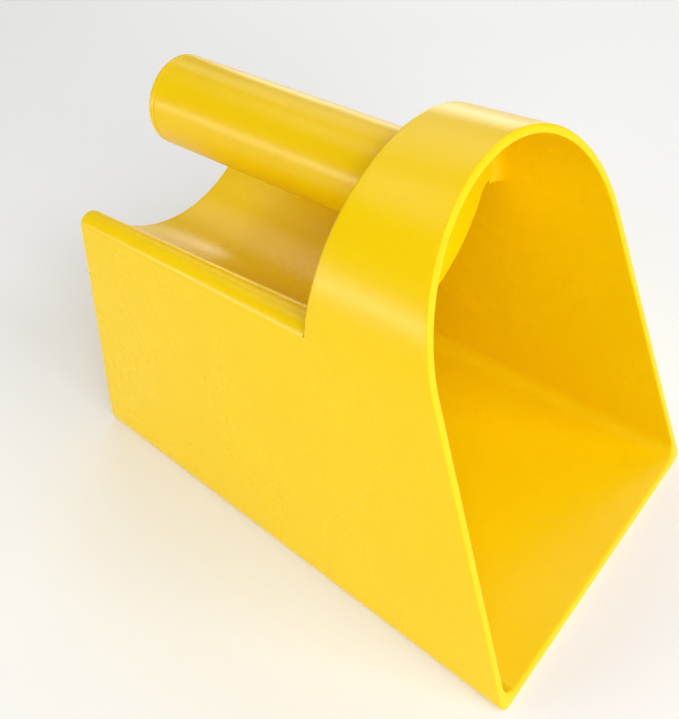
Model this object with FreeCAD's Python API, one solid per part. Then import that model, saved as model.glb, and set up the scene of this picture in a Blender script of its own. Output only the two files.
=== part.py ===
"""Hooded grain scoop: a moulded polyethylene scoop body with a separate tubular grip.

Millimetres, +Z up. The mouth faces -Y and the back wall faces +Y. The origin is on the
underside of the floor, midway between the floor's front lip and the outside of the back wall.
"""
import FreeCAD, Part
import math
import os

# --- Driving dimensions: the scoop body ---------------------------------------------------
FLOOR_LENGTH = 250.0        # front lip to the outside of the back wall
MOUTH_WIDTH = 170.0         # outside, at floor level, at the front lip
BACK_WIDTH = 150.0          # outside, at floor level, at the back wall
SIDE_LEAN = 6.0             # degrees that each side wall leans inwards
WALL = 3.5                  # side walls, back wall, hood and saddle
FLOOR_THICKNESS = 4.0
FLOOR_EDGE_RADIUS = 3.5     # outside, floor to side wall
FLOOR_FILLET_RADIUS = 7.0   # inside, floor to side wall
BACK_EDGE_RADIUS = 1.5      # outside, round the back wall

ROOF_HEIGHT = 206.6         # the hood's ridge line, carried forward to the front lip
ROOF_FALL = 6.2             # degrees that the ridge drops towards the back
HOOD_LENGTH = 115.0         # front lip to the back face of the hood
MOUTH_LEAN = 21.5           # degrees that the mouth leans back from upright
HOOD_EDGE_RADIUS = 1.5      # round the back edge of the hood

SHOULDER_HEIGHT_AT_HOOD = 138.3     # crest of the side wall where it meets the hood
SHOULDER_HEIGHT_AT_BACK = 125.6
SHOULDER_RADIUS_AT_HOOD = 8.7
SHOULDER_RADIUS_AT_BACK = 5.7
SADDLE_HEIGHT_AT_HOOD = 98.0        # lowest line of the finger trough
SADDLE_HEIGHT_AT_BACK = 93.6

# --- Driving dimensions: the grip and its fixing ------------------------------------------
HANDLE_DIAMETER = 40.0
HANDLE_WALL = 3.0
HANDLE_LENGTH = 122.0       # grip length along its axis, from the hood's back face
HANDLE_HEIGHT = 164.4       # grip axis above the floor's underside, at the hood's back face
HANDLE_FALL = 2.7           # degrees that the grip drops towards the back
SPIGOT_DIAMETER = 33.0      # reduced end that passes through the hood
SPIGOT_BORE = 27.0
SOCKET_WALL = 4.0           # collar round the hole, inside the hood
SOCKET_DEPTH = 6.0          # collar length from the hood's back face, along the grip axis
NUT_SIDES = 6
NUT_ACROSS_FLATS = 42.0
NUT_LENGTH = 8.0
NUT_END_WALL = 3.0          # closed end, which keeps grain out of the grip
CAP_RIM_LENGTH = 3.0        # the visible rim of the end cap
CAP_DOME_HEIGHT = 5.0
CAP_PLUG_LENGTH = 12.0      # what goes inside the grip
CAP_PLUG_WALL = 2.5

# --- Fits ---------------------------------------------------------------------------------
SPIGOT_CLEARANCE = 0.15     # radial, spigot in its hole
THREAD_CLEARANCE = 0.10     # radial, nut on the spigot
PLUG_CLEARANCE = 0.05       # radial, cap in the grip
SPIGOT_END_GAP = 0.3        # spigot end to the closed end of the nut

# --- Derived places -----------------------------------------------------------------------
OVERRUN = 12.0              # how far cutting shapes run past what they cut
LIP_Y = -FLOOR_LENGTH / 2
BACK_Y = FLOOR_LENGTH / 2
HOOD_BACK_Y = LIP_Y + HOOD_LENGTH
LEAN = math.radians(SIDE_LEAN)
AXIS_TILT = math.radians(HANDLE_FALL)
GRIP_AXIS = FreeCAD.Vector(0, math.cos(AXIS_TILT), -math.sin(AXIS_TILT))
GRIP_ROOT = FreeCAD.Vector(0, HOOD_BACK_Y, HANDLE_HEIGHT)
HANDLE_RADIUS = HANDLE_DIAMETER / 2
HANDLE_BORE_RADIUS = HANDLE_RADIUS - HANDLE_WALL
SPIGOT_RADIUS = SPIGOT_DIAMETER / 2
SPIGOT_LENGTH = SOCKET_DEPTH + NUT_LENGTH - NUT_END_WALL - SPIGOT_END_GAP


def along_y(y, at_hood, at_back):
    """A value that runs straight from the hood's back face to the back wall."""
    share = (y - HOOD_BACK_Y) / (BACK_Y - HOOD_BACK_Y)
    return at_hood + (at_back - at_hood) * share


def half_width(y):
    """Half the outside width at floor level."""
    taper = (MOUTH_WIDTH - BACK_WIDTH) / (2 * FLOOR_LENGTH)
    return MOUTH_WIDTH / 2 - taper * (y - LIP_Y)


def roof_height(y):
    """Height of the hood's ridge."""
    return ROOF_HEIGHT - math.tan(math.radians(ROOF_FALL)) * (y - LIP_Y)


def side_x(y, z, inset):
    """Half width of the side wall's face at a height, inset from the outside."""
    return half_width(y) - z * math.tan(LEAN) - inset / math.cos(LEAN)


class Outline:
    """A closed outline in one upright plane, mirrored about x = 0."""

    def __init__(self, y):
        self.y = y
        self.right = []

    def point(self, x, z):
        return FreeCAD.Vector(x, self.y, z)

    def line(self, start, end):
        """A straight stretch on the +X side, from (x, z) to (x, z)."""
        self.right.append(("line", start, end))

    def arc(self, centre, radius, start, end):
        """A round stretch on the +X side, by its angles from +X towards +Z."""
        mid = (start + end) / 2
        spots = [(centre[0] + radius * math.cos(a), centre[1] + radius * math.sin(a))
                 for a in (start, mid, end)]
        self.right.append(("arc", *spots))

    def edge(self, kind, spots, side):
        """One edge, on the +X side (side 1) or the -X side (side -1)."""
        points = [self.point(side * x, z) for x, z in spots]
        if kind == "line":
            return Part.LineSegment(*points).toShape()
        return Part.Arc(*points).toShape()

    def edges(self):
        """Up the +X side and down the -X side, with what crosses x = 0 as two halves."""
        up = [self.edge(kind, spots, 1) for kind, *spots in self.right]
        down = [self.edge(kind, spots[::-1], -1) for kind, *spots in reversed(self.right)]
        return up + down


def lower_walls(outline, inset, floor, corner):
    """The floor, its rounded corner and the start of the side wall, up to where it curves."""
    corner_z = floor + corner
    corner_x = side_x(outline.y, corner_z, inset + corner)
    outline.line((0, floor), (corner_x, floor))
    outline.arc((corner_x, corner_z), corner, -math.pi / 2, LEAN)
    return (corner_x + corner * math.cos(LEAN), corner_z + corner * math.sin(LEAN))


def hood_outline(y, inset, floor, corner):
    """Floor, leaning sides and a round roof that the sides run into without a step."""
    outline = Outline(y)
    foot = lower_walls(outline, inset, floor, corner)
    reach = half_width(y) * math.cos(LEAN) - roof_height(y) * math.sin(LEAN)
    radius = reach / (1 - math.sin(LEAN))
    centre_z = roof_height(y) - radius
    radius -= inset
    outline.line(foot, (radius * math.cos(LEAN), centre_z + radius * math.sin(LEAN)))
    outline.arc((0, centre_z), radius, LEAN, math.pi / 2)
    return outline.edges()


def back_outline(y, inset, floor, corner):
    """Floor, leaning sides, a rounded shoulder and the finger trough between the shoulders."""
    outline = Outline(y)
    foot = lower_walls(outline, inset, floor, corner)
    shoulder = along_y(y, SHOULDER_RADIUS_AT_HOOD, SHOULDER_RADIUS_AT_BACK)
    shoulder_z = along_y(y, SHOULDER_HEIGHT_AT_HOOD, SHOULDER_HEIGHT_AT_BACK) - shoulder
    shoulder_x = side_x(y, shoulder_z, shoulder)
    trough_z = along_y(y, SADDLE_HEIGHT_AT_HOOD, SADDLE_HEIGHT_AT_BACK)
    drop = trough_z - shoulder_z
    trough = (shoulder_x ** 2 + drop ** 2 - shoulder ** 2) / (2 * (shoulder - drop))
    centre_z = trough_z + trough
    turn = math.atan2(centre_z - shoulder_z, -shoulder_x)
    shoulder -= inset
    trough += inset
    outline.line(foot, (shoulder_x + shoulder * math.cos(LEAN),
                        shoulder_z + shoulder * math.sin(LEAN)))
    outline.arc((shoulder_x, shoulder_z), shoulder, LEAN, turn)
    outline.arc((0, centre_z), trough, turn - math.pi, -math.pi / 2)
    return outline.edges()


def strip(first, second):
    """The face between matching edges of two outlines: flat between lines, else ruled."""
    if isinstance(first.Curve, Part.Line):
        corners = [second.firstVertex().Point, second.lastVertex().Point,
                   first.lastVertex().Point, first.firstVertex().Point]
        return Part.Face(Part.makePolygon(corners + corners[:1]))
    return Part.makeRuledSurface(second, first)


def ruled(outline, start_y, end_y, inset=0.0, floor=0.0, corner=FLOOR_EDGE_RADIUS):
    """A solid with straight lines from one outline to the other."""
    start, end = [outline(y, inset, floor, corner) for y in (start_y, end_y)]
    faces = [strip(first, second) for first, second in zip(start, end)]
    faces += [Part.Face(Part.Wire(edges)) for edges in (start, end)]
    shell = Part.makeShell(faces)
    shell.sewShape()
    return Part.makeSolid(shell)


def grip_cylinder(radius, start, end):
    """A cylinder on the grip's axis, between two distances from the hood's back face."""
    base = GRIP_ROOT + GRIP_AXIS * start
    return Part.makeCylinder(radius, end - start, base, GRIP_AXIS)


def half_space(y, towards_back):
    """A block that fills one side of an upright plane across the scoop."""
    size = 4 * FLOOR_LENGTH
    start = y if towards_back else y - size
    return Part.makeBox(size, size, size, FreeCAD.Vector(-size / 2, start, -size / 2))


def mouth_cutter():
    """A block in front of the leaning mouth plane, which passes through the lip's underside."""
    size = 4 * FLOOR_LENGTH
    block = Part.makeBox(size, size, 2 * size, FreeCAD.Vector(-size / 2, -size, -size))
    block.rotate(FreeCAD.Vector(), FreeCAD.Vector(1, 0, 0), -MOUTH_LEAN)
    block.translate(FreeCAD.Vector(0, LIP_Y, 0))
    return block


def edges_where(shape, test):
    """The edges whose middle points pass a test."""
    return [edge for edge in shape.Edges
            if test(edge.valueAt((edge.FirstParameter + edge.LastParameter) / 2))]


def rounded_back(form, y, radius):
    """The form with the edges that lie in its back plane rounded."""
    near = 0.01
    return form.makeFillet(radius, edges_where(form, lambda spot: abs(spot.y - y) < near))


def outer_form():
    """The scoop with no inside: hood and back, each rounded along its back edges."""
    hood = rounded_back(ruled(hood_outline, LIP_Y, HOOD_BACK_Y), HOOD_BACK_Y, HOOD_EDGE_RADIUS)
    back = ruled(back_outline, HOOD_BACK_Y - 2 * WALL, BACK_Y)
    back = rounded_back(back, BACK_Y, BACK_EDGE_RADIUS)
    return hood.fuse(back).removeSplitter()


def inner_form():
    """The hollow: it runs on from the hood into the back, under the saddle."""
    inside = {"inset": WALL, "floor": FLOOR_THICKNESS, "corner": FLOOR_FILLET_RADIUS}
    hood = ruled(hood_outline, LIP_Y - OVERRUN, HOOD_BACK_Y - WALL, **inside)
    back = ruled(back_outline, HOOD_BACK_Y - 2 * WALL, BACK_Y - WALL, **inside)
    return hood.fuse(back).removeSplitter()


def scoop_body():
    """The moulded shell, with the grip's hole and the collar round it."""
    shell = outer_form().cut(inner_form()).cut(mouth_cutter())
    hole_radius = SPIGOT_RADIUS + SPIGOT_CLEARANCE
    collar = grip_cylinder(hole_radius + SOCKET_WALL, -SOCKET_DEPTH, OVERRUN)
    collar = collar.common(half_space(HOOD_BACK_Y - WALL / 2, False))
    hole = grip_cylinder(hole_radius, -SOCKET_DEPTH - OVERRUN, OVERRUN)
    return shell.fuse(collar).cut(hole).removeSplitter()


def handle():
    """The grip: a tube cut square to the hood, with a spigot that goes through the hood."""
    grip = grip_cylinder(HANDLE_RADIUS, -OVERRUN, HANDLE_LENGTH)
    grip = grip.common(half_space(HOOD_BACK_Y, True))
    spigot = grip_cylinder(SPIGOT_RADIUS, -SPIGOT_LENGTH, OVERRUN)
    spigot_bore = grip_cylinder(SPIGOT_BORE / 2, -SPIGOT_LENGTH - OVERRUN, OVERRUN)
    grip_bore = grip_cylinder(HANDLE_BORE_RADIUS, OVERRUN, HANDLE_LENGTH + OVERRUN)
    return grip.fuse(spigot).cut(spigot_bore).cut(grip_bore).removeSplitter()


def handle_end_cap():
    """A domed cap with a hollow plug that is pushed into the grip's open end."""
    rim_end = HANDLE_LENGTH + CAP_RIM_LENGTH
    rim = grip_cylinder(HANDLE_RADIUS, HANDLE_LENGTH, rim_end)
    dome_radius = (HANDLE_RADIUS ** 2 + CAP_DOME_HEIGHT ** 2) / (2 * CAP_DOME_HEIGHT)
    centre = GRIP_ROOT + GRIP_AXIS * (rim_end + CAP_DOME_HEIGHT - dome_radius)
    ball = Part.makeSphere(dome_radius, centre)
    dome = ball.common(grip_cylinder(HANDLE_RADIUS, rim_end, rim_end + OVERRUN))
    plug_radius = HANDLE_BORE_RADIUS - PLUG_CLEARANCE
    plug = grip_cylinder(plug_radius, HANDLE_LENGTH - CAP_PLUG_LENGTH, HANDLE_LENGTH)
    hollow = grip_cylinder(plug_radius - CAP_PLUG_WALL, HANDLE_LENGTH - CAP_PLUG_LENGTH,
                           HANDLE_LENGTH)
    return rim.fuse(dome).fuse(plug.cut(hollow)).removeSplitter()


def handle_lock_nut():
    """A closed six-sided nut on the spigot, which pulls the grip up against the hood."""
    front = -SOCKET_DEPTH - NUT_LENGTH
    corner_radius = NUT_ACROSS_FLATS / 2 / math.cos(math.pi / NUT_SIDES)
    turns = [2 * math.pi * (count + 0.5) / NUT_SIDES for count in range(NUT_SIDES + 1)]
    corners = [FreeCAD.Vector(corner_radius * math.cos(turn), corner_radius * math.sin(turn), 0)
               for turn in turns]
    blank = Part.Face(Part.makePolygon(corners)).extrude(FreeCAD.Vector(0, 0, NUT_LENGTH))
    blank.Placement = FreeCAD.Placement(
        GRIP_ROOT + GRIP_AXIS * front, FreeCAD.Rotation(FreeCAD.Vector(0, 0, 1), GRIP_AXIS))
    bore = grip_cylinder(SPIGOT_RADIUS + THREAD_CLEARANCE, front + NUT_END_WALL, OVERRUN)
    return blank.cut(bore)


def main():
    os.makedirs("parts", exist_ok=True)
    nodes = {
        "scoop_body": scoop_body(),
        "handle": handle(),
        "handle_end_cap": handle_end_cap(),
        "handle_lock_nut": handle_lock_nut(),
    }
    for name, shape in nodes.items():
        shape.exportStep(f"parts/{name}.step")
        box = shape.BoundBox
        print(f"{name}: valid {shape.isValid()}, {len(shape.Solids)} solid, "
              f"{shape.Volume / 1000:.1f} cm3, x {box.XMin:.1f} {box.XMax:.1f}, "
              f"y {box.YMin:.1f} {box.YMax:.1f}, z {box.ZMin:.1f} {box.ZMax:.1f}")


main()
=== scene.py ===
"""Looks of the hooded grain scoop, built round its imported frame.

Metres, +Z up. The mouth faces -Y, the back wall faces +Y, and z = 0 is the underside of the
floor. Every piece is modelled in place and rides on the one body that the frame has.
"""

import logging
import math
from dataclasses import dataclass, field, replace
from enum import Enum
from typing import Any, Callable, Iterable, Sequence

import bmesh
import bpy
from mathutils import Matrix, Vector

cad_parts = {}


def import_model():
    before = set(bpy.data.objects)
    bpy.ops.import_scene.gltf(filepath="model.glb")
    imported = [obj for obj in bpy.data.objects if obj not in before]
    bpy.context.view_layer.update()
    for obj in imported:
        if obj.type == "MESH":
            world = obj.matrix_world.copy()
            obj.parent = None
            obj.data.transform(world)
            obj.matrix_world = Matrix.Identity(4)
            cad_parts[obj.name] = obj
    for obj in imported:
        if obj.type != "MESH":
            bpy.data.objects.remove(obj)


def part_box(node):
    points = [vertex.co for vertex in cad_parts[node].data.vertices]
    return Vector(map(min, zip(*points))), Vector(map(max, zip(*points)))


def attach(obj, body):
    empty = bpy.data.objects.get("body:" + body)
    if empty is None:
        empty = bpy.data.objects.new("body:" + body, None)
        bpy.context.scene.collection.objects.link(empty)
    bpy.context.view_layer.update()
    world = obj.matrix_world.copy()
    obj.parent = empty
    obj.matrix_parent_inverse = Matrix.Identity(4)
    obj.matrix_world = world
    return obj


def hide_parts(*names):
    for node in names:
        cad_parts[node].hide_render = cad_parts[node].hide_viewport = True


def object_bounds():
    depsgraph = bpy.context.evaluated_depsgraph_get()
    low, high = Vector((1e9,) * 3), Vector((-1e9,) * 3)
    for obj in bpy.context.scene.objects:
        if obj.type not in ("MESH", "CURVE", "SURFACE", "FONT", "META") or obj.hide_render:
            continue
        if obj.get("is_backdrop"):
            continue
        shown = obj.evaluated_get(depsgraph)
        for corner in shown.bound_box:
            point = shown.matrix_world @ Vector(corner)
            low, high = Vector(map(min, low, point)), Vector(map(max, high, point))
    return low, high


LOG = logging.getLogger("grain_scoop")
MM = 0.001
WELD_DISTANCE = 0.01 * MM
PLANE_DISTANCE = 0.02 * MM
BEVEL_FROM = math.radians(50)
NORMAL_WEIGHT = 80


# --- Bench: the few modelling moves that every piece shares ---------------------------------
def deselect_all() -> None:
    """Leave edit mode and clear the selection, so that an operator acts on nothing else."""
    if bpy.context.mode != "OBJECT":
        bpy.ops.object.mode_set(mode="OBJECT")
    bpy.ops.object.select_all(action="DESELECT")


def take_up(piece: bpy.types.Object) -> None:
    """Make one piece the only selected one and the active one."""
    deselect_all()
    piece.select_set(True)
    bpy.context.view_layer.objects.active = piece


def edit(piece: bpy.types.Object) -> bmesh.types.BMesh:
    """Open a piece in edit mode with nothing selected in its mesh.

    Args:
        piece: The mesh object to open.

    Returns:
        The mesh as edit mode holds it.
    """
    take_up(piece)
    bpy.ops.object.mode_set(mode="EDIT")
    bpy.ops.mesh.select_all(action="DESELECT")
    return bmesh.from_edit_mesh(piece.data)


def pick_edges(piece: bpy.types.Object, test: Callable[[bmesh.types.BMEdge], bool]) -> None:
    """Open a piece and select the edges that pass a test.

    Args:
        piece: The mesh object to open.
        test: Says whether an edge is wanted.
    """
    mesh = edit(piece)
    bpy.ops.mesh.select_mode(type="EDGE")
    for edge in [edge for edge in mesh.edges if test(edge)]:
        edge.select_set(True)
    bmesh.update_edit_mesh(piece.data)


def pick_faces(piece: bpy.types.Object, test: Callable[[bmesh.types.BMFace], bool]) -> None:
    """Open a piece and select the faces that pass a test.

    Args:
        piece: The mesh object to open.
        test: Says whether a face is wanted.
    """
    mesh = edit(piece)
    bpy.ops.mesh.select_mode(type="FACE")
    for face in [face for face in mesh.faces if test(face)]:
        face.select_set(True)
    bmesh.update_edit_mesh(piece.data)


def apply_modifier(piece: bpy.types.Object, kind: str, **settings: Any) -> None:
    """Put one modifier on a piece and apply it.

    Args:
        piece: The mesh object to change.
        kind: The modifier's type.
        **settings: Its properties.
    """
    take_up(piece)
    modifier = piece.modifiers.new(kind.title(), kind)
    for name, value in settings.items():
        setattr(modifier, name, value)
    bpy.ops.object.modifier_apply(modifier=modifier.name)


def weld(piece: bpy.types.Object) -> None:
    """Merge the points of a piece that lie on each other and turn its faces outwards.

    Args:
        piece: The mesh object to weld.
    """
    edit(piece)
    bpy.ops.mesh.select_all(action="SELECT")
    bpy.ops.mesh.remove_doubles(threshold=WELD_DISTANCE)
    bpy.ops.mesh.dissolve_degenerate(threshold=WELD_DISTANCE)
    bpy.ops.mesh.select_all(action="SELECT")
    bpy.ops.mesh.normals_make_consistent(inside=False)
    bpy.ops.object.mode_set(mode="OBJECT")


def join(pieces: Sequence[bpy.types.Object], name: str) -> bpy.types.Object:
    """Join pieces into the first of them.

    Args:
        pieces: The mesh objects to join.
        name: The name of the joined piece.

    Returns:
        The joined piece.
    """
    deselect_all()
    for piece in pieces:
        piece.select_set(True)
    bpy.context.view_layer.objects.active = pieces[0]
    bpy.ops.object.join()
    pieces[0].name = name
    pieces[0].data.name = name
    return pieces[0]


def place_in_mesh(piece: bpy.types.Object) -> None:
    """Move a piece's place and turn into its mesh, so that its object sits at the origin."""
    take_up(piece)
    bpy.ops.object.transform_apply(location=True, rotation=True, scale=True)


def smooth_shade(piece: bpy.types.Object, sharpest: float) -> None:
    """Point the faces outwards and shade the piece smooth, with its flat faces kept flat.

    Args:
        piece: The mesh object to finish.
        sharpest: The turn between two faces, in radians, above which their edge stays sharp.
    """
    edit(piece)
    bpy.ops.mesh.select_all(action="SELECT")
    bpy.ops.mesh.normals_make_consistent(inside=False)
    bpy.ops.object.mode_set(mode="OBJECT")
    take_up(piece)
    bpy.ops.object.shade_smooth_by_angle(angle=sharpest)
    apply_modifier(piece, "WEIGHTED_NORMAL", keep_sharp=True, weight=NORMAL_WEIGHT)


def lay_sheet(name: str, columns: Sequence[Any], rows: Sequence[Any],
              place: Callable[[Any, Any], Vector]) -> bpy.types.Object:
    """Add a grid and lay it over a shape, point by point.

    Args:
        name: The sheet's name.
        columns: What each column of the grid stands for.
        rows: What each row of the grid stands for.
        place: Gives the point of one column and one row.

    Returns:
        The laid sheet.
    """
    deselect_all()
    bpy.ops.mesh.primitive_grid_add(x_subdivisions=len(columns) - 1,
                                    y_subdivisions=len(rows) - 1, size=1.0)
    sheet = bpy.context.active_object
    sheet.name = name
    for index, vertex in enumerate(sheet.data.vertices):
        row, column = divmod(index, len(columns))
        vertex.co = place(columns[column], rows[row])
    return sheet


def steps(count: int, bias: float = 1.0) -> list[float]:
    """Even shares from 0 up to, and not with, 1, or closer together at 0 with a bias above 1."""
    return [(index / count) ** bias for index in range(count)]


# --- The scoop's shape ----------------------------------------------------------------------
class Stretch(Enum):
    """One stretch of a cross-section, from the middle of the floor upwards."""

    FLOOR = "floor"
    CORNER = "corner between floor and side wall"
    SIDE = "side wall up to the shoulder's start"
    CHEEK = "side of the hood above it"
    DOME = "round roof of the hood"
    SHOULDER = "rounded top of the side wall"
    TROUGH = "finger trough"


@dataclass(frozen=True)
class Column:
    """A line that runs from mouth to back at one share of a stretch, on one side."""

    stretch: Stretch
    share: float
    side: int = 1


@dataclass(frozen=True)
class Skin:
    """One face of the moulded wall: where it lies, and how its corners are rounded."""

    inset: float
    floor: float
    corner: float
    hood_wall_y: float
    end_wall_y: float
    hood_round: float
    saddle_round: float
    end_round: float

    def deeper(self, depth: float) -> "Skin":
        """The same skin, a little further in from the outside."""
        return replace(self, inset=self.inset + depth, floor=self.floor + depth,
                       corner=self.corner - depth)


@dataclass
class ScoopBody:
    """The moulded shell: floor, side walls, hood, saddle, back wall and the grip's collar."""

    mouth_width: float = 170.0 * MM
    back_width: float = 150.0 * MM
    side_lean: float = math.radians(6.0)
    wall: float = 3.5 * MM
    floor_thickness: float = 4.0 * MM
    outer_corner: float = 3.5 * MM
    inner_corner: float = 7.0 * MM
    hood_length: float = 115.0 * MM
    mouth_lean: float = math.radians(21.5)
    ridge_height: float = 206.6 * MM
    ridge_fall: float = math.radians(6.2)
    shoulder_height: tuple[float, float] = (138.3 * MM, 125.6 * MM)
    shoulder_radius: tuple[float, float] = (8.7 * MM, 5.7 * MM)
    saddle_height: tuple[float, float] = (98.0 * MM, 93.6 * MM)
    hood_edge: float = 1.5 * MM
    saddle_fillet: float = 2.5 * MM
    end_edge: float = 1.5 * MM
    inner_fillet: float = 1.8 * MM
    hood_inner_fillet: float = 5.0 * MM
    rim_edge: float = 0.9 * MM
    rim_segments: int = 4
    hole_radius: float = 16.65 * MM
    collar_wall: float = 4.0 * MM
    collar_depth: float = 6.0 * MM
    collar_fillet: float = 1.5 * MM
    hole_columns: int = 72
    round_rows: int = 5
    hood_rows: int = 16
    back_rows: int = 18
    sharp_above: float = math.radians(35)
    share_of_gap: float = 0.45
    piece: bpy.types.Object = field(init=False)

    def __post_init__(self) -> None:
        """Take the length from the frame, and set the outer and inner skins from the sizes."""
        low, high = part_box("scoop_body")
        self.lip_y, self.back_y = low.y, high.y
        hood_back = self.lip_y + self.hood_length
        self.outer = Skin(0.0, 0.0, self.outer_corner, hood_back, self.back_y,
                          self.hood_edge, self.saddle_fillet, self.end_edge)
        self.inner = Skin(self.wall, self.floor_thickness, self.inner_corner,
                          hood_back - self.wall, self.back_y - self.wall,
                          self.hood_inner_fillet, self.hood_edge, self.inner_fillet)

    def half_width(self, y: float) -> float:
        """Half the outside width at floor level."""
        taper = (self.mouth_width - self.back_width) / (2 * (self.back_y - self.lip_y))
        return self.mouth_width / 2 - taper * (y - self.lip_y)

    def ridge(self, y: float) -> float:
        """Height of the hood's ridge."""
        return self.ridge_height - math.tan(self.ridge_fall) * (y - self.lip_y)

    def side_x(self, y: float, z: float, inset: float) -> float:
        """Half width of the side wall's face at a height, in from the outside."""
        return (self.half_width(y) - z * math.tan(self.side_lean)
                - inset / math.cos(self.side_lean))

    def along_back(self, y: float, ends: tuple[float, float]) -> float:
        """A value that runs straight from the hood's back face to the back wall."""
        start = self.outer.hood_wall_y
        return ends[0] + (ends[1] - ends[0]) * (y - start) / (self.back_y - start)

    def shoulder(self, y: float) -> tuple[float, float, float]:
        """The shoulder's rounding.

        Args:
            y: Where the section stands.

        Returns:
            Its centre's x and z, and its radius on the outside.
        """
        radius = self.along_back(y, self.shoulder_radius)
        height = self.along_back(y, self.shoulder_height) - radius
        return self.side_x(y, height, radius), height, radius

    def trough(self, y: float) -> tuple[float, float, float]:
        """The finger trough.

        Args:
            y: Where the section stands.

        Returns:
            Its centre's z, its radius, and the angle on the shoulder where it takes over.
        """
        x, z, radius = self.shoulder(y)
        low = self.along_back(y, self.saddle_height)
        drop = low - z
        trough = (x ** 2 + drop ** 2 - radius ** 2) / (2 * (radius - drop))
        centre = low + trough
        return centre, trough, math.atan2(centre - z, -x)

    def section(self, column: Column, y: float, skin: Skin) -> Vector:
        """The point of one column in the upright plane at y.

        Args:
            column: Which column.
            y: Where the plane stands.
            skin: Which face of the wall.

        Returns:
            The point.
        """
        lean, share = self.side_lean, column.share
        corner_z = skin.floor + skin.corner
        corner_x = self.side_x(y, corner_z, skin.inset + skin.corner)
        x_s, z_s, r_s = self.shoulder(max(y, skin.hood_wall_y))
        start_z = z_s + (r_s - skin.inset) * math.sin(lean)
        if column.stretch is Stretch.FLOOR:
            x, z = corner_x * share, skin.floor
        elif column.stretch is Stretch.CORNER:
            angle = -math.pi / 2 + (lean + math.pi / 2) * share
            x, z = corner_x + skin.corner * math.cos(angle), corner_z + skin.corner * math.sin(angle)
        elif column.stretch is Stretch.SIDE:
            foot_z = corner_z + skin.corner * math.sin(lean)
            z = foot_z + (start_z - foot_z) * share
            x = self.side_x(y, z, skin.inset)
        elif column.stretch in (Stretch.CHEEK, Stretch.DOME):
            reach = self.half_width(y) * math.cos(lean) - self.ridge(y) * math.sin(lean)
            radius = reach / (1 - math.sin(lean))
            centre_z = self.ridge(y) - radius
            radius -= skin.inset
            if column.stretch is Stretch.CHEEK:
                top_z = centre_z + radius * math.sin(lean)
                z = start_z + (top_z - start_z) * share
                x = self.side_x(y, z, skin.inset)
            else:
                angle = lean + (math.pi / 2 - lean) * share
                x, z = radius * math.cos(angle), centre_z + radius * math.sin(angle)
        else:
            centre_z, radius, turn = self.trough(y)
            if column.stretch is Stretch.SHOULDER:
                angle = lean + (turn - lean) * share
                x = x_s + (r_s - skin.inset) * math.cos(angle)
                z = z_s + (r_s - skin.inset) * math.sin(angle)
            else:
                start = turn - math.pi
                angle = start + (-math.pi / 2 - start) * share
                x = (radius + skin.inset) * math.cos(angle)
                z = centre_z + (radius + skin.inset) * math.sin(angle)
        return Vector((column.side * x, y, z))

    def rounding(self, column: Column, skin: Skin, limit: float) -> float:
        """How much of a rounding fits where the hood's wall rises out of the shoulder.

        Args:
            column: Which column.
            skin: Which face of the wall.
            limit: The rounding where there is room for all of it.

        Returns:
            The rounding's radius, which grows from nothing at the shoulder's start.
        """
        if column.stretch in (Stretch.DOME, Stretch.TROUGH):
            return limit
        if column.stretch not in (Stretch.CHEEK, Stretch.SHOULDER):
            return 0.0
        wall_y = skin.hood_wall_y
        start = self.section(replace(column, share=0.0), wall_y, skin)
        distance = (self.section(column, wall_y, skin) - start).length
        bend = self.shoulder(wall_y)[2] - skin.inset
        return min(limit, self.share_of_gap * distance ** 2 / (2 * bend))

    def mouth_y(self, column: Column, skin: Skin) -> float:
        """Where a column meets the leaning plane of the mouth, by closing in on it.

        Args:
            column: Which column.
            skin: Which face of the wall.

        Returns:
            The y of the meeting point.
        """
        y, tries = self.lip_y, 8
        for _ in range(tries):
            y = self.lip_y + self.section(column, y, skin).z * math.tan(self.mouth_lean)
        return y

    @staticmethod
    def ring(upper: Sequence[tuple[Stretch, int, float]]) -> list[Column]:
        """The columns of a whole cross-section, from its top down one side and up the other.

        Args:
            upper: The stretches above the side wall, each with its columns and their bias.

        Returns:
            The columns, from the -X side's top to the +X side's top.
        """
        lower = [(Stretch.FLOOR, 10, 1.0), (Stretch.CORNER, 6, 1.0), (Stretch.SIDE, 14, 1.0)]
        half = [Column(stretch, share) for stretch, count, bias in [*lower, *upper]
                for share in steps(count, bias)]
        half.append(Column(upper[-1][0], 1.0))
        return [replace(column, side=-1) for column in reversed(half[1:])] + half

    def hood_columns(self) -> list[Column]:
        """The columns of the hood's cross-section."""
        return self.ring([(Stretch.CHEEK, 16, 1.6), (Stretch.DOME, 26, 1.0)])

    def hood_sheet(self, skin: Skin) -> bpy.types.Object:
        """One face of everything from the mouth back to the hood's back wall.

        Args:
            skin: Which face of the wall.

        Returns:
            The sheet.
        """
        runs = [("run", share) for share in steps(self.hood_rows)]
        turns = [("turn", share * math.pi / 2) for share in [*steps(self.round_rows), 1.0]]

        def place(column: Column, row: tuple[str, float]) -> Vector:
            """The point of a column in a row of the straight run or of the turn."""
            radius = self.rounding(column, skin, skin.hood_round)
            start, end = self.mouth_y(column, skin), skin.hood_wall_y - radius
            if row[0] == "run":
                return self.section(column, start + (end - start) * row[1], skin)
            depth = radius * (1 - math.cos(row[1]))
            return self.section(column, end + radius * math.sin(row[1]),
                                skin.deeper(depth) if depth else skin)

        return lay_sheet("hood_sheet", self.hood_columns(), runs + turns, place)

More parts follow.
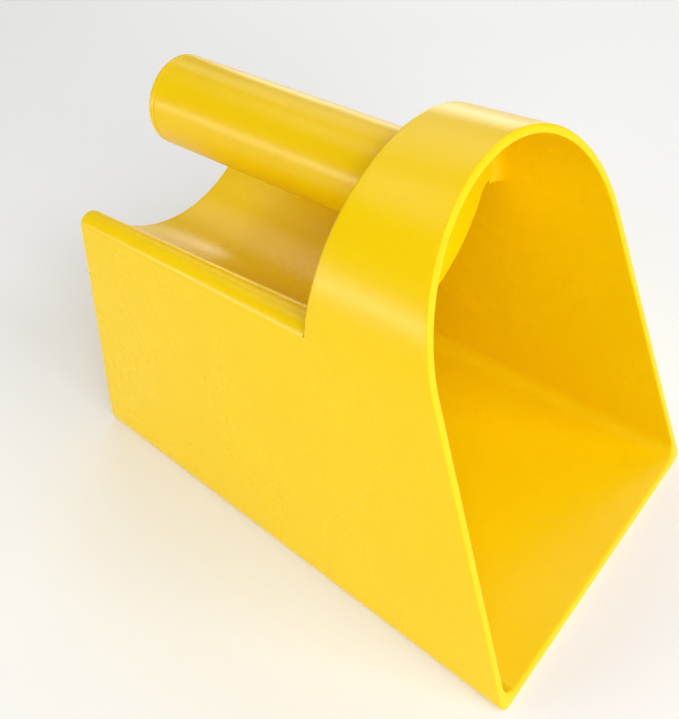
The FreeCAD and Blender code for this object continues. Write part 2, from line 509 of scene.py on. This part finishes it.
    def back_sheet(self, skin: Skin) -> bpy.types.Object:
        """One face of everything from the hood's back wall to the back wall.

        Args:
            skin: Which face of the wall.

        Returns:
            The sheet.
        """
        columns = self.ring([(Stretch.SHOULDER, 16, 1.3), (Stretch.TROUGH, 24, 1.0)])
        saddles = [("saddle", share * math.pi / 2) for share in steps(self.round_rows)]
        runs = [("run", share) for share in steps(self.back_rows)]
        ends = [("end", share * math.pi / 2) for share in [*steps(self.round_rows), 1.0]]

        def place(column: Column, row: tuple[str, float]) -> Vector:
            """The point of a column in a row of the fillet, the straight run or the end."""
            fillet = self.rounding(column, skin, skin.saddle_round)
            start, end = skin.hood_wall_y + fillet, skin.end_wall_y - skin.end_round
            if row[0] == "saddle":
                depth = -fillet * (1 - math.sin(row[1]))
                return self.section(column, start - fillet * math.cos(row[1]),
                                    skin.deeper(depth) if depth else skin)
            if row[0] == "run":
                return self.section(column, start + (end - start) * row[1], skin)
            depth = skin.end_round * (1 - math.cos(row[1]))
            return self.section(column, end + skin.end_round * math.sin(row[1]),
                                skin.deeper(depth))

        return lay_sheet("back_sheet", columns, saddles + runs + ends, place)

    def collar_sheet(self, axis: "GripAxis") -> bpy.types.Object:
        """The hole's wall and the collar round it, from the outside of the hood inwards.

        Args:
            axis: The grip's axis, which the hole follows.

        Returns:
            The sheet.
        """
        outer_y, inner_y = self.outer.hood_wall_y, self.inner.hood_wall_y
        edge, fillet = self.rim_edge, self.collar_fillet
        inside, depth = self.hole_radius, -self.collar_depth
        outside = inside + self.collar_wall
        rows: list[tuple[float, float | None, float]] = [(inside, None, outer_y)]
        rows.append((inside, depth + edge, 0.0))
        quarter = [share * math.pi / 2 for share in [*steps(self.round_rows), 1.0]]
        rows += [(inside + edge * (1 - math.cos(a)), depth + edge * (1 - math.sin(a)), 0.0)
                 for a in quarter[1:]]
        rows += [(outside - edge * (1 - math.sin(a)), depth + edge * (1 - math.cos(a)), 0.0)
                 for a in quarter]
        rows += [(outside + fillet * (1 - math.cos(a)), None,
                  inner_y - fillet * (1 - math.sin(a))) for a in quarter]
        angles = [math.tau * share for share in [*steps(self.hole_columns), 1.0]]

        def place(angle: float, row: tuple[float, float | None, float]) -> Vector:
            """The point at an angle, at a distance along the axis or in the plane at y."""
            radius, distance, y = row
            if distance is None:
                distance = axis.distance_at(radius, angle, y)
            return axis.point(radius, angle, distance)

        return lay_sheet("collar_sheet", angles, rows, place)

    def rim_sheet(self) -> bpy.types.Object:
        """The flat rim round the mouth, from the outer skin to the inner one."""
        return lay_sheet("rim_sheet", self.hood_columns(), [self.outer, self.inner],
                         lambda column, skin: self.section(column, self.mouth_y(column, skin), skin))

    def on_mouth(self, point: Vector) -> bool:
        """Whether a point lies in the leaning plane of the mouth."""
        return abs(point.y - self.lip_y - point.z * math.tan(self.mouth_lean)) < PLANE_DISTANCE

    def fill_wall(self, shell: bpy.types.Object, y: float) -> None:
        """Fill the open edges that lie in one upright plane, round any hole in it.

        Args:
            shell: The shell as it is so far.
            y: Where the plane stands.
        """
        pick_edges(shell, lambda edge: edge.is_boundary and all(
            abs(vertex.co.y - y) < PLANE_DISTANCE for vertex in edge.verts))
        bpy.ops.mesh.fill(use_beauty=True)
        bpy.ops.object.mode_set(mode="OBJECT")

    def round_rim(self, shell: bpy.types.Object) -> None:
        """Round the two edges of the rim.

        Args:
            shell: The shell, closed.
        """
        def at_rim(edge: bmesh.types.BMEdge) -> bool:
            """Whether an edge parts the flat rim from a wall."""
            if not all(self.on_mouth(vertex.co) for vertex in edge.verts):
                return False
            flat = [all(self.on_mouth(vertex.co) for vertex in face.verts)
                    for face in edge.link_faces]
            return any(flat) and not all(flat)

        pick_edges(shell, at_rim)
        bpy.ops.mesh.bevel(offset_type="OFFSET", offset=self.rim_edge,
                           segments=self.rim_segments, affect="EDGES", clamp_overlap=True)
        bpy.ops.object.mode_set(mode="OBJECT")

    def build(self, axis: "GripAxis") -> bpy.types.Object:
        """Model the shell.

        Args:
            axis: The grip's axis, which the collar follows.

        Returns:
            The finished shell.
        """
        skins = [join([self.hood_sheet(skin), self.back_sheet(skin)], "skin")
                 for skin in (self.outer, self.inner)]
        shell = join([*skins, self.rim_sheet(), self.collar_sheet(axis)], "scoop_shell")
        weld(shell)
        for y in (self.outer.hood_wall_y, self.inner.hood_wall_y,
                  self.outer.end_wall_y, self.inner.end_wall_y):
            self.fill_wall(shell, y)
        weld(shell)
        self.round_rim(shell)
        weld(shell)
        smooth_shade(shell, self.sharp_above)
        self.piece = shell
        return shell


# --- The grip and its fixing ----------------------------------------------------------------
@dataclass(frozen=True)
class GripAxis:
    """The line that the grip, its spigot, the nut and the cap are turned about."""

    root: Vector
    fall: float

    @property
    def direction(self) -> Vector:
        """From the hood towards the grip's free end."""
        return Vector((0, math.cos(self.fall), -math.sin(self.fall)))

    @property
    def turn(self) -> tuple[float, float, float]:
        """The turn that lays a cylinder's own axis along this one."""
        return (-(math.pi / 2 + self.fall), 0.0, 0.0)

    def point(self, radius: float, angle: float, distance: float) -> Vector:
        """A point round the axis.

        Args:
            radius: How far it is from the axis.
            angle: Its angle, from +X upwards.
            distance: How far it is along the axis from the hood's back face.

        Returns:
            The point.
        """
        across = Vector((1, 0, 0)) * math.cos(angle)
        up = Vector((0, math.sin(self.fall), math.cos(self.fall))) * math.sin(angle)
        return self.root + self.direction * distance + (across + up) * radius

    def distance_at(self, radius: float, angle: float, y: float) -> float:
        """How far along the axis a line of the cylinder meets the upright plane at y."""
        rise = radius * math.sin(angle) * math.sin(self.fall)
        return (y - self.root.y - rise) / math.cos(self.fall)

    def distance(self, point: Vector) -> float:
        """How far along the axis a point is."""
        return (point - self.root).dot(self.direction)

    def blank(self, name: str, radius: float, start: float, end: float,
              sides: int) -> bpy.types.Object:
        """Add a round bar on the axis.

        Args:
            name: The bar's name.
            radius: Its radius.
            start: Its start, as a distance along the axis.
            end: Its end.
            sides: How many flats it is made of.

        Returns:
            The bar.
        """
        deselect_all()
        bpy.ops.mesh.primitive_cylinder_add(
            vertices=sides, radius=radius, depth=end - start,
            location=self.root + self.direction * (start + end) / 2, rotation=self.turn)
        bar = bpy.context.active_object
        bar.name = name
        place_in_mesh(bar)
        return bar

    def pick_end(self, piece: bpy.types.Object, distance: float) -> None:
        """Select the faces that lie square across the axis at a distance."""
        pick_faces(piece, lambda face: all(
            abs(self.distance(vertex.co) - distance) < PLANE_DISTANCE for vertex in face.verts))

    def push(self, distance: float) -> None:
        """Extrude what is selected along the axis."""
        bpy.ops.mesh.extrude_region_move(
            TRANSFORM_OT_translate={"value": self.direction * distance})


@dataclass
class Grip:
    """The tubular grip with the threaded spigot that goes through the hood."""

    axis: GripAxis
    radius: float = 20.0 * MM
    wall: float = 3.0 * MM
    length: float = 122.0 * MM
    spigot_radius: float = 16.5 * MM
    spigot_bore: float = 13.5 * MM
    spigot_length: float = 10.7 * MM
    plain_length: float = 6.3 * MM
    step_at: float = 12.0 * MM
    thread_rows: int = 16
    thread_pitch: float = 2.0 * MM
    thread_depth: float = 0.6 * MM
    edge: float = 0.7 * MM
    edge_segments: int = 3
    sides: int = 96
    sharp_above: float = math.radians(40)
    piece: bpy.types.Object = field(init=False)

    def build(self) -> bpy.types.Object:
        """Model the grip.

        Returns:
            The finished grip.
        """
        axis, overlap = self.axis, 4.0 * MM
        tube = axis.blank("grip_tube", self.radius, -overlap, self.length, self.sides)
        edit(tube)
        bpy.ops.mesh.select_all(action="SELECT")
        bpy.ops.mesh.bisect(plane_co=axis.root, plane_no=(0, 1, 0), use_fill=True,
                            clear_inner=True)
        self.bore_open_end(tube)
        self.draw_spigot(tube)
        weld(tube)
        apply_modifier(tube, "BEVEL", width=self.edge, segments=self.edge_segments,
                       limit_method="ANGLE", angle_limit=BEVEL_FROM, use_clamp_overlap=True)
        smooth_shade(tube, self.sharp_above)
        self.piece = tube
        return tube

    def bore_open_end(self, tube: bpy.types.Object) -> None:
        """Hollow the grip from its free end down to the step inside it.

        Args:
            tube: The grip as a solid bar.
        """
        axis = self.axis
        axis.pick_end(tube, self.length)
        bpy.ops.mesh.inset(thickness=self.wall)
        axis.push(self.step_at - self.length)
        bpy.ops.mesh.inset(thickness=self.radius - self.wall - self.spigot_bore)
        bpy.ops.mesh.delete(type="FACE")

    def draw_spigot(self, tube: bpy.types.Object) -> None:
        """Draw the spigot out of the root end, cut its thread and bore it to the step.

        Args:
            tube: The grip, hollowed from its free end.
        """
        axis = self.axis
        pick_faces(tube, lambda face: all(
            abs(vertex.co.y - axis.root.y) < PLANE_DISTANCE for vertex in face.verts))
        bpy.ops.mesh.inset(thickness=self.radius - self.spigot_radius)
        axis.push(-self.plain_length)
        self.true_up(tube, -self.plain_length, self.spigot_radius)
        for _ in range(self.thread_rows):
            axis.push((self.plain_length - self.spigot_length) / self.thread_rows)
        self.cut_thread(tube)
        axis.pick_end(tube, -self.spigot_length)
        bpy.ops.mesh.inset(thickness=self.spigot_radius - self.spigot_bore)
        axis.push(self.spigot_length + self.step_at)
        bpy.ops.mesh.delete(type="FACE")
        bpy.ops.object.mode_set(mode="OBJECT")

    def true_up(self, tube: bpy.types.Object, distance: float, radius: float) -> None:
        """Put the selected points on a true circle, square across the axis.

        Args:
            tube: The grip, open in edit mode.
            distance: Where the circle stands along the axis.
            radius: The circle's radius.
        """
        mesh = bmesh.from_edit_mesh(tube.data)
        for vertex in mesh.verts:
            if vertex.select:
                centre = self.axis.root + self.axis.direction * self.axis.distance(vertex.co)
                spoke = (vertex.co - centre).normalized()
                vertex.co = self.axis.root + self.axis.direction * distance + spoke * radius
        bmesh.update_edit_mesh(tube.data)

    def cut_thread(self, tube: bpy.types.Object) -> None:
        """Cut a round-bottomed helical thread into the far part of the spigot.

        Args:
            tube: The grip, open in edit mode.
        """
        mesh = bmesh.from_edit_mesh(tube.data)
        axis, across = self.axis, Vector((1, 0, 0))
        start, end = -self.plain_length, -self.spigot_length
        for vertex in mesh.verts:
            distance = axis.distance(vertex.co)
            if not end + PLANE_DISTANCE < distance < start - PLANE_DISTANCE:
                continue
            spoke = vertex.co - axis.root - axis.direction * distance
            angle = math.atan2(spoke.dot(across.cross(axis.direction)), spoke.dot(across))
            turns = distance / self.thread_pitch + angle / math.tau
            fade = min(1.0, (start - distance) / MM, (distance - end) / MM)
            cut = self.thread_depth * fade * (1 - math.cos(math.tau * turns)) / 2
            vertex.co -= spoke.normalized() * cut
        bmesh.update_edit_mesh(tube.data)


@dataclass
class GripCap:
    """The domed cap that is pushed into the grip's open end."""

    axis: GripAxis
    grip: Grip
    rim_length: float = 3.0 * MM
    dome_height: float = 5.0 * MM
    plug_length: float = 12.0 * MM
    plug_wall: float = 2.5 * MM
    clearance: float = 0.05 * MM
    edge: float = 0.7 * MM
    edge_segments: int = 3
    dome_rings: int = 12
    last_ring: float = 0.985
    sharp_above: float = math.radians(40)
    piece: bpy.types.Object = field(init=False)

    def build(self) -> bpy.types.Object:
        """Model the cap.

        Returns:
            The finished cap.
        """
        axis, grip = self.axis, self.grip
        start, end = grip.length, grip.length + self.rim_length
        cap = axis.blank("grip_cap", grip.radius, start, end, grip.sides)
        axis.pick_end(cap, end)
        ball = (grip.radius ** 2 + self.dome_height ** 2) / (2 * self.dome_height)

        def rise(radius: float) -> float:
            """Height of the dome above the rim's end, at a radius."""
            return math.sqrt(ball ** 2 - radius ** 2) - ball + self.dome_height

        radii = [grip.radius * (1 - share) for share in [*steps(self.dome_rings), self.last_ring]]
        for wider, narrower in zip(radii, radii[1:]):
            bpy.ops.mesh.inset(thickness=wider - narrower, depth=rise(narrower) - rise(wider))
        bpy.ops.mesh.merge(type="CENTER")
        axis.pick_end(cap, start)
        plug = grip.radius - grip.wall - self.clearance
        bpy.ops.mesh.inset(thickness=grip.radius - plug)
        axis.push(-self.plug_length)
        bpy.ops.mesh.inset(thickness=self.plug_wall)
        axis.push(self.plug_length)
        bpy.ops.object.mode_set(mode="OBJECT")
        apply_modifier(cap, "BEVEL", width=self.edge, segments=self.edge_segments,
                       limit_method="ANGLE", angle_limit=BEVEL_FROM, use_clamp_overlap=True)
        smooth_shade(cap, self.sharp_above)
        self.piece = cap
        return cap


@dataclass
class LockNut:
    """The closed six-sided nut that pulls the grip up against the hood."""

    axis: GripAxis
    across_flats: float = 42.0 * MM
    length: float = 8.0 * MM
    front: float = -14.0 * MM
    end_wall: float = 3.0 * MM
    bore: float = 16.6 * MM
    corner_cut: float = 1.2 * MM
    edge: float = 0.5 * MM
    flats: int = 6
    sides: int = 96
    sharp_above: float = math.radians(30)
    piece: bpy.types.Object = field(init=False)

    def build(self) -> bpy.types.Object:
        """Model the nut: a hexagon, its corners turned off, and a blind bore.

        Returns:
            The finished nut.
        """
        axis, spare, clear = self.axis, 2.0 * MM, 0.2 * MM
        back = self.front + self.length
        corner = self.across_flats / 2 / math.cos(math.pi / self.flats)
        nut = axis.blank("grip_nut", corner, self.front - spare, back + spare, self.flats)
        barrel = axis.blank("barrel", corner + clear, self.front, back, self.sides)
        apply_modifier(barrel, "BEVEL", width=2 * self.corner_cut, segments=1,
                       limit_method="ANGLE", angle_limit=BEVEL_FROM)
        drill = axis.blank("drill", self.bore, self.front + self.end_wall, back + spare, self.sides)
        for tool, operation in ((barrel, "INTERSECT"), (drill, "DIFFERENCE")):
            apply_modifier(nut, "BOOLEAN", operation=operation, object=tool, solver="EXACT")
            bpy.data.objects.remove(tool)
        weld(nut)
        apply_modifier(nut, "BEVEL", width=self.edge, segments=2, limit_method="ANGLE",
                       angle_limit=math.radians(35), use_clamp_overlap=True)
        smooth_shade(nut, self.sharp_above)
        self.piece = nut
        return nut


# --- Finishes -------------------------------------------------------------------------------
def linear(hex_colour: str) -> tuple[float, float, float, float]:
    """Turn an sRGB hex colour into the linear colour that a shader takes.

    Args:
        hex_colour: Six hex digits.

    Returns:
        Red, green, blue and full alpha.
    """
    def channel(value: float) -> float:
        """One channel, from its sRGB share to its linear one."""
        return value / 12.92 if value <= 0.04045 else ((value + 0.055) / 1.055) ** 2.4

    red, green, blue = (channel(int(hex_colour[at:at + 2], 16) / 255) for at in (0, 2, 4))
    return (red, green, blue, 1.0)


def add_node(tree: bpy.types.NodeTree, kind: str, settings: dict[str, Any] | None = None,
             inputs: dict[str | int, Any] | None = None) -> bpy.types.Node:
    """Add one node with its settings and links.

    Args:
        tree: The node tree.
        kind: The node's type.
        settings: Its properties.
        inputs: Its inputs by name or number, each a plain value or another node's output.

    Returns:
        The node.
    """
    node = tree.nodes.new(kind)
    for name, value in (settings or {}).items():
        setattr(node, name, value)
    for name, value in (inputs or {}).items():
        if isinstance(value, bpy.types.NodeSocket):
            tree.links.new(value, node.inputs[name])
        else:
            node.inputs[name].default_value = value
    return node


def per_metre(millimetres: float) -> float:
    """The scale that gives a pattern features of a size in millimetres."""
    return 1.0 / (millimetres * MM)


@dataclass(frozen=True)
class MouldedPolyethylene:
    """Injection-moulded high-density polyethylene, coloured right through.

    The resin is a little waxy: light goes in, spreads and comes back warmer, and the gloss is
    soft and broad, because the tool's fine texture breaks it up.
    """

    name: str
    light: str
    deep: str
    roughness: float
    roughness_spread: float = 0.03
    flow_mm: float = 55.0
    peel_mm: float = 1.6
    grain_mm: float = 0.35
    rub_mm: float = 2.25
    rub_dulling: float = 0.03

    def material(self) -> bpy.types.Material:
        """Build the finish.

        Returns:
            The material.
        """
        material = bpy.data.materials.new(self.name)
        material.use_nodes = True
        tree = material.node_tree
        tree.nodes.clear()
        place = add_node(tree, "ShaderNodeTexCoord").outputs["Object"]
        # Pigment that flowed unevenly into the tool: cloudy and barely darker.
        flow = add_node(tree, "ShaderNodeTexNoise", inputs={
            "Vector": place, "Scale": per_metre(self.flow_mm), "Detail": 4.0,
            "Roughness": 0.55, "Distortion": 0.6}).outputs["Fac"]
        cloud = add_node(tree, "ShaderNodeMapRange", inputs={
            "Value": flow, "From Min": 0.35, "From Max": 0.65}).outputs["Result"]
        colour = add_node(tree, "ShaderNodeMix", {"data_type": "RGBA"}, {
            "Factor": cloud, 6: linear(self.light), 7: linear(self.deep)}).outputs[2]
        # Handling: faint dull rubs, long and thin, where the surface has lost its shine.
        stretched = add_node(tree, "ShaderNodeMapping", inputs={
            "Vector": place, "Rotation": (0.3, 0.2, 0.6), "Scale": (1.0, 0.12, 1.0)}).outputs[0]
        rub = add_node(tree, "ShaderNodeTexNoise", inputs={
            "Vector": stretched, "Scale": per_metre(self.rub_mm), "Detail": 6.0,
            "Roughness": 0.7}).outputs["Fac"]
        rubbed = add_node(tree, "ShaderNodeMapRange", inputs={
            "Value": rub, "From Min": 0.58, "From Max": 0.78, "To Max": 1.0}).outputs["Result"]
        shine = add_node(tree, "ShaderNodeMapRange", inputs={
            "Value": flow, "From Min": 0.3, "From Max": 0.7,
            "To Min": self.roughness - self.roughness_spread,
            "To Max": self.roughness + self.roughness_spread}).outputs["Result"]
        dull = add_node(tree, "ShaderNodeMath", {"operation": "MULTIPLY_ADD"}, {
            0: rubbed, 1: self.rub_dulling, 2: shine}).outputs[0]
        # The tool's texture: a soft orange peel with a finer grain in it.
        peel = add_node(tree, "ShaderNodeTexNoise", inputs={
            "Vector": place, "Scale": per_metre(self.peel_mm), "Detail": 1.0}).outputs["Fac"]
        grain = add_node(tree, "ShaderNodeTexNoise", inputs={
            "Vector": place, "Scale": per_metre(self.grain_mm), "Detail": 2.0}).outputs["Fac"]
        soft = add_node(tree, "ShaderNodeBump", inputs={
            "Height": peel, "Strength": 0.08, "Distance": 0.05 * MM}).outputs["Normal"]
        fine = add_node(tree, "ShaderNodeBump", inputs={
            "Height": grain, "Strength": 0.10, "Distance": 0.03 * MM,
            "Normal": soft}).outputs["Normal"]
        shader = add_node(tree, "ShaderNodeBsdfPrincipled", inputs={
            "Base Color": colour, "Roughness": dull, "Normal": fine, "IOR": 1.54,
            "Specular IOR Level": 0.2,
            "Subsurface Weight": 0.12, "Subsurface Radius": (1.0, 0.55, 0.12),
            "Subsurface Scale": 2.5 * MM})
        add_node(tree, "ShaderNodeOutputMaterial", inputs={"Surface": shader.outputs[0]})
        return material


@dataclass(frozen=True)
class MattePaper:
    """The studio's paper sweep: pale, matte and very slightly uneven."""

    name: str = "studio_paper"
    light: str = "FBFBFA"
    deep: str = "F6F6F5"

    def material(self) -> bpy.types.Material:
        """Build the finish.

        Returns:
            The material.
        """
        material = bpy.data.materials.new(self.name)
        material.use_nodes = True
        tree = material.node_tree
        tree.nodes.clear()
        place = add_node(tree, "ShaderNodeTexCoord").outputs["Object"]
        cloud = add_node(tree, "ShaderNodeTexNoise", inputs={
            "Vector": place, "Scale": 3.0, "Detail": 3.0}).outputs["Fac"]
        colour = add_node(tree, "ShaderNodeMix", {"data_type": "RGBA"}, {
            "Factor": cloud, 6: linear(self.light), 7: linear(self.deep)}).outputs[2]
        shader = add_node(tree, "ShaderNodeBsdfPrincipled", inputs={
            "Base Color": colour, "Roughness": 0.9})
        add_node(tree, "ShaderNodeOutputMaterial", inputs={"Surface": shader.outputs[0]})
        return material


BODY_FINISH = MouldedPolyethylene("moulded_polyethylene_body", "F9D202", "F7CF01", 0.28)
# The grip's copy of the body's resin is a little darker and more amber: painted shade, standing in
# for the shade that falls on the grip.
GRIP_FINISH_PAINTED_SHADE = MouldedPolyethylene("moulded_polyethylene_grip_painted_shade", "F6CD02", "F2C801", 0.30)


# --- The studio -----------------------------------------------------------------------------
@dataclass(frozen=True)
class SoftBox:
    """A rectangular studio light: where it stands, what it faces and how bright it is."""

    name: str
    place: tuple[float, float, float]
    aim: tuple[float, float, float]
    size: tuple[float, float]
    power: float

    def add(self) -> None:
        """Hang the light."""
        data = bpy.data.lights.new(self.name, "AREA")
        data.shape = "RECTANGLE"
        data.size, data.size_y = self.size
        data.energy = self.power
        lamp = bpy.data.objects.new(self.name, data)
        bpy.context.scene.collection.objects.link(lamp)
        lamp.location = self.place
        look = Vector(self.aim) - Vector(self.place)
        lamp.rotation_euler = look.to_track_quat("-Z", "Y").to_euler()


@dataclass
class Studio:
    """Floor, lights and camera."""

    floor_size: float = 12.0
    azimuth: float = math.radians(-50.3)
    elevation: float = math.radians(46.0)
    roll: float = math.radians(-1.69)
    distance: float = 0.420
    lens: float = 45.62
    sensor_width: float = 36.0
    clip: tuple[float, float] = (0.01, 50.0)
    light_aim: Vector = field(default_factory=lambda: Vector((0, 0, 0.1)))
    room_light: float = 0.15
    aim_offset: Vector = field(default_factory=lambda: Vector((-0.0184, 0.0121, -0.0300)))

    def lay_floor(self) -> None:
        """Lay the paper floor at the height that the scoop stands on."""
        deselect_all()
        bpy.ops.mesh.primitive_plane_add(size=self.floor_size, location=(0, 0, 0))
        floor = bpy.context.active_object
        floor.name = "studio_floor"
        floor.data.materials.append(MattePaper().material())
        floor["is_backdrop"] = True

    def set_camera(self) -> None:
        """Stand the camera at its viewing angle."""
        low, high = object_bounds()
        aim = (Vector(low) + Vector(high)) / 2 + self.aim_offset
        back = Vector((math.sin(self.azimuth) * math.cos(self.elevation),
                       -math.cos(self.azimuth) * math.cos(self.elevation),
                       math.sin(self.elevation)))
        data = bpy.data.cameras.new("studio_camera")
        data.lens, data.sensor_width = self.lens, self.sensor_width
        data.clip_start, data.clip_end = self.clip
        data.dof.use_dof = False
        camera = bpy.data.objects.new("studio_camera", data)
        bpy.context.scene.collection.objects.link(camera)
        level = Vector((math.cos(self.azimuth), math.sin(self.azimuth), 0))
        upright = Matrix((level, back.cross(level), back)).transposed()
        turned = upright @ Matrix.Rotation(self.roll, 3, "Z")
        camera.matrix_world = Matrix.Translation(aim + back * self.distance) @ turned.to_4x4()
        bpy.context.scene.camera = camera

    def box(self, name: str, azimuth: float, elevation: float, distance: float,
            size: tuple[float, float], power: float) -> SoftBox:
        """A soft box that faces the scoop.

        Args:
            name: Its name.
            azimuth: Where it stands round the scoop, in degrees from the mouth towards +X.
            elevation: How high it stands, in degrees.
            distance: How far off it stands.
            size: Its width and height.
            power: Its power in watts.

        Returns:
            The soft box.
        """
        turn, rise = math.radians(azimuth), math.radians(elevation)
        aim = self.light_aim
        place = aim + distance * Vector((math.sin(turn) * math.cos(rise),
                                         -math.cos(turn) * math.cos(rise), math.sin(rise)))
        return SoftBox(name, tuple(place), tuple(aim), size, power)

    def light(self) -> None:
        """Hang the soft boxes and set the pale room."""
        boxes = tuple(
            self.box(*values) for values in (
                ("left_strip", -124, 6, 1.3, (0.7, 0.15), 5.0),
                ("back_box", -170, 55, 1.5, (0.6, 0.35), 1.9),
                ("right_back_box", 138, 40, 1.5, (0.8, 0.7), 3.4),
                ("right_strip", 116, 6, 1.5, (1.0, 0.3), 4.2),
                ("front_box", -42, 38, 1.5, (0.9, 0.9), 9.5),
                ("low_front_box", -20, 12, 1.5, (0.9, 0.7), 7.0),
                ("high_front_box", 12, 46, 1.5, (0.8, 0.8), 8.0),
                ("right_box", 80, 50, 1.5, (0.9, 0.8), 3.0),
            ))
        for box in boxes:
            box.add()
        scene = bpy.context.scene
        scene.world = bpy.data.worlds.new("studio_room")
        scene.world.use_nodes = True
        background = scene.world.node_tree.nodes["Background"]
        background.inputs["Color"].default_value = linear("FFFFFF")
        background.inputs["Strength"].default_value = self.room_light
        scene.view_settings.view_transform = "Standard"
        scene.view_settings.look = "None"


# --- Putting it together --------------------------------------------------------------------
def dress(piece: bpy.types.Object, material: bpy.types.Material) -> None:
    """Give a piece its one material."""
    piece.data.materials.clear()
    piece.data.materials.append(material)


def hand_over(piece: bpy.types.Object, node: str) -> None:
    """Put a finished piece in its frame node's place and report it.

    Args:
        piece: The finished mesh object.
        node: The node that it stands for.
    """
    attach(piece, "root")
    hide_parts(node)
    mesh = piece.data
    mesh.calc_loop_triangles()
    LOG.info("%s stands for %s: %d triangles", piece.name, node, len(mesh.loop_triangles))


def main(cad_box: tuple[Iterable[float], Iterable[float]]) -> None:
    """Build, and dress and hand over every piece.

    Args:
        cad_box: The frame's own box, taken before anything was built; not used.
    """
    logging.basicConfig(level=logging.INFO, format="%(name)s: %(message)s")
    studio = Studio()
    studio.set_camera()
    studio.lay_floor()
    studio.light()
    body = ScoopBody()
    axis = GripAxis(root=Vector((0, body.outer.hood_wall_y, 164.4 * MM)), fall=math.radians(2.7))
    body_finish, grip_finish_painted_shade = BODY_FINISH.material(), GRIP_FINISH_PAINTED_SHADE.material()
    dress(body.build(axis), body_finish)
    hand_over(body.piece, "scoop_body")
    grip = Grip(axis)
    cap, nut = GripCap(axis, grip), LockNut(axis)
    # The grip, its cap and its nut all wear the darker copy of the resin, with its painted shade.
    for part, node in ((grip, "handle"), (cap, "handle_end_cap"), (nut, "handle_lock_nut")):
        dress(part.build(), grip_finish_painted_shade)
        hand_over(part.piece, node)


if __name__ == "__main__":
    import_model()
    main(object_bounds())
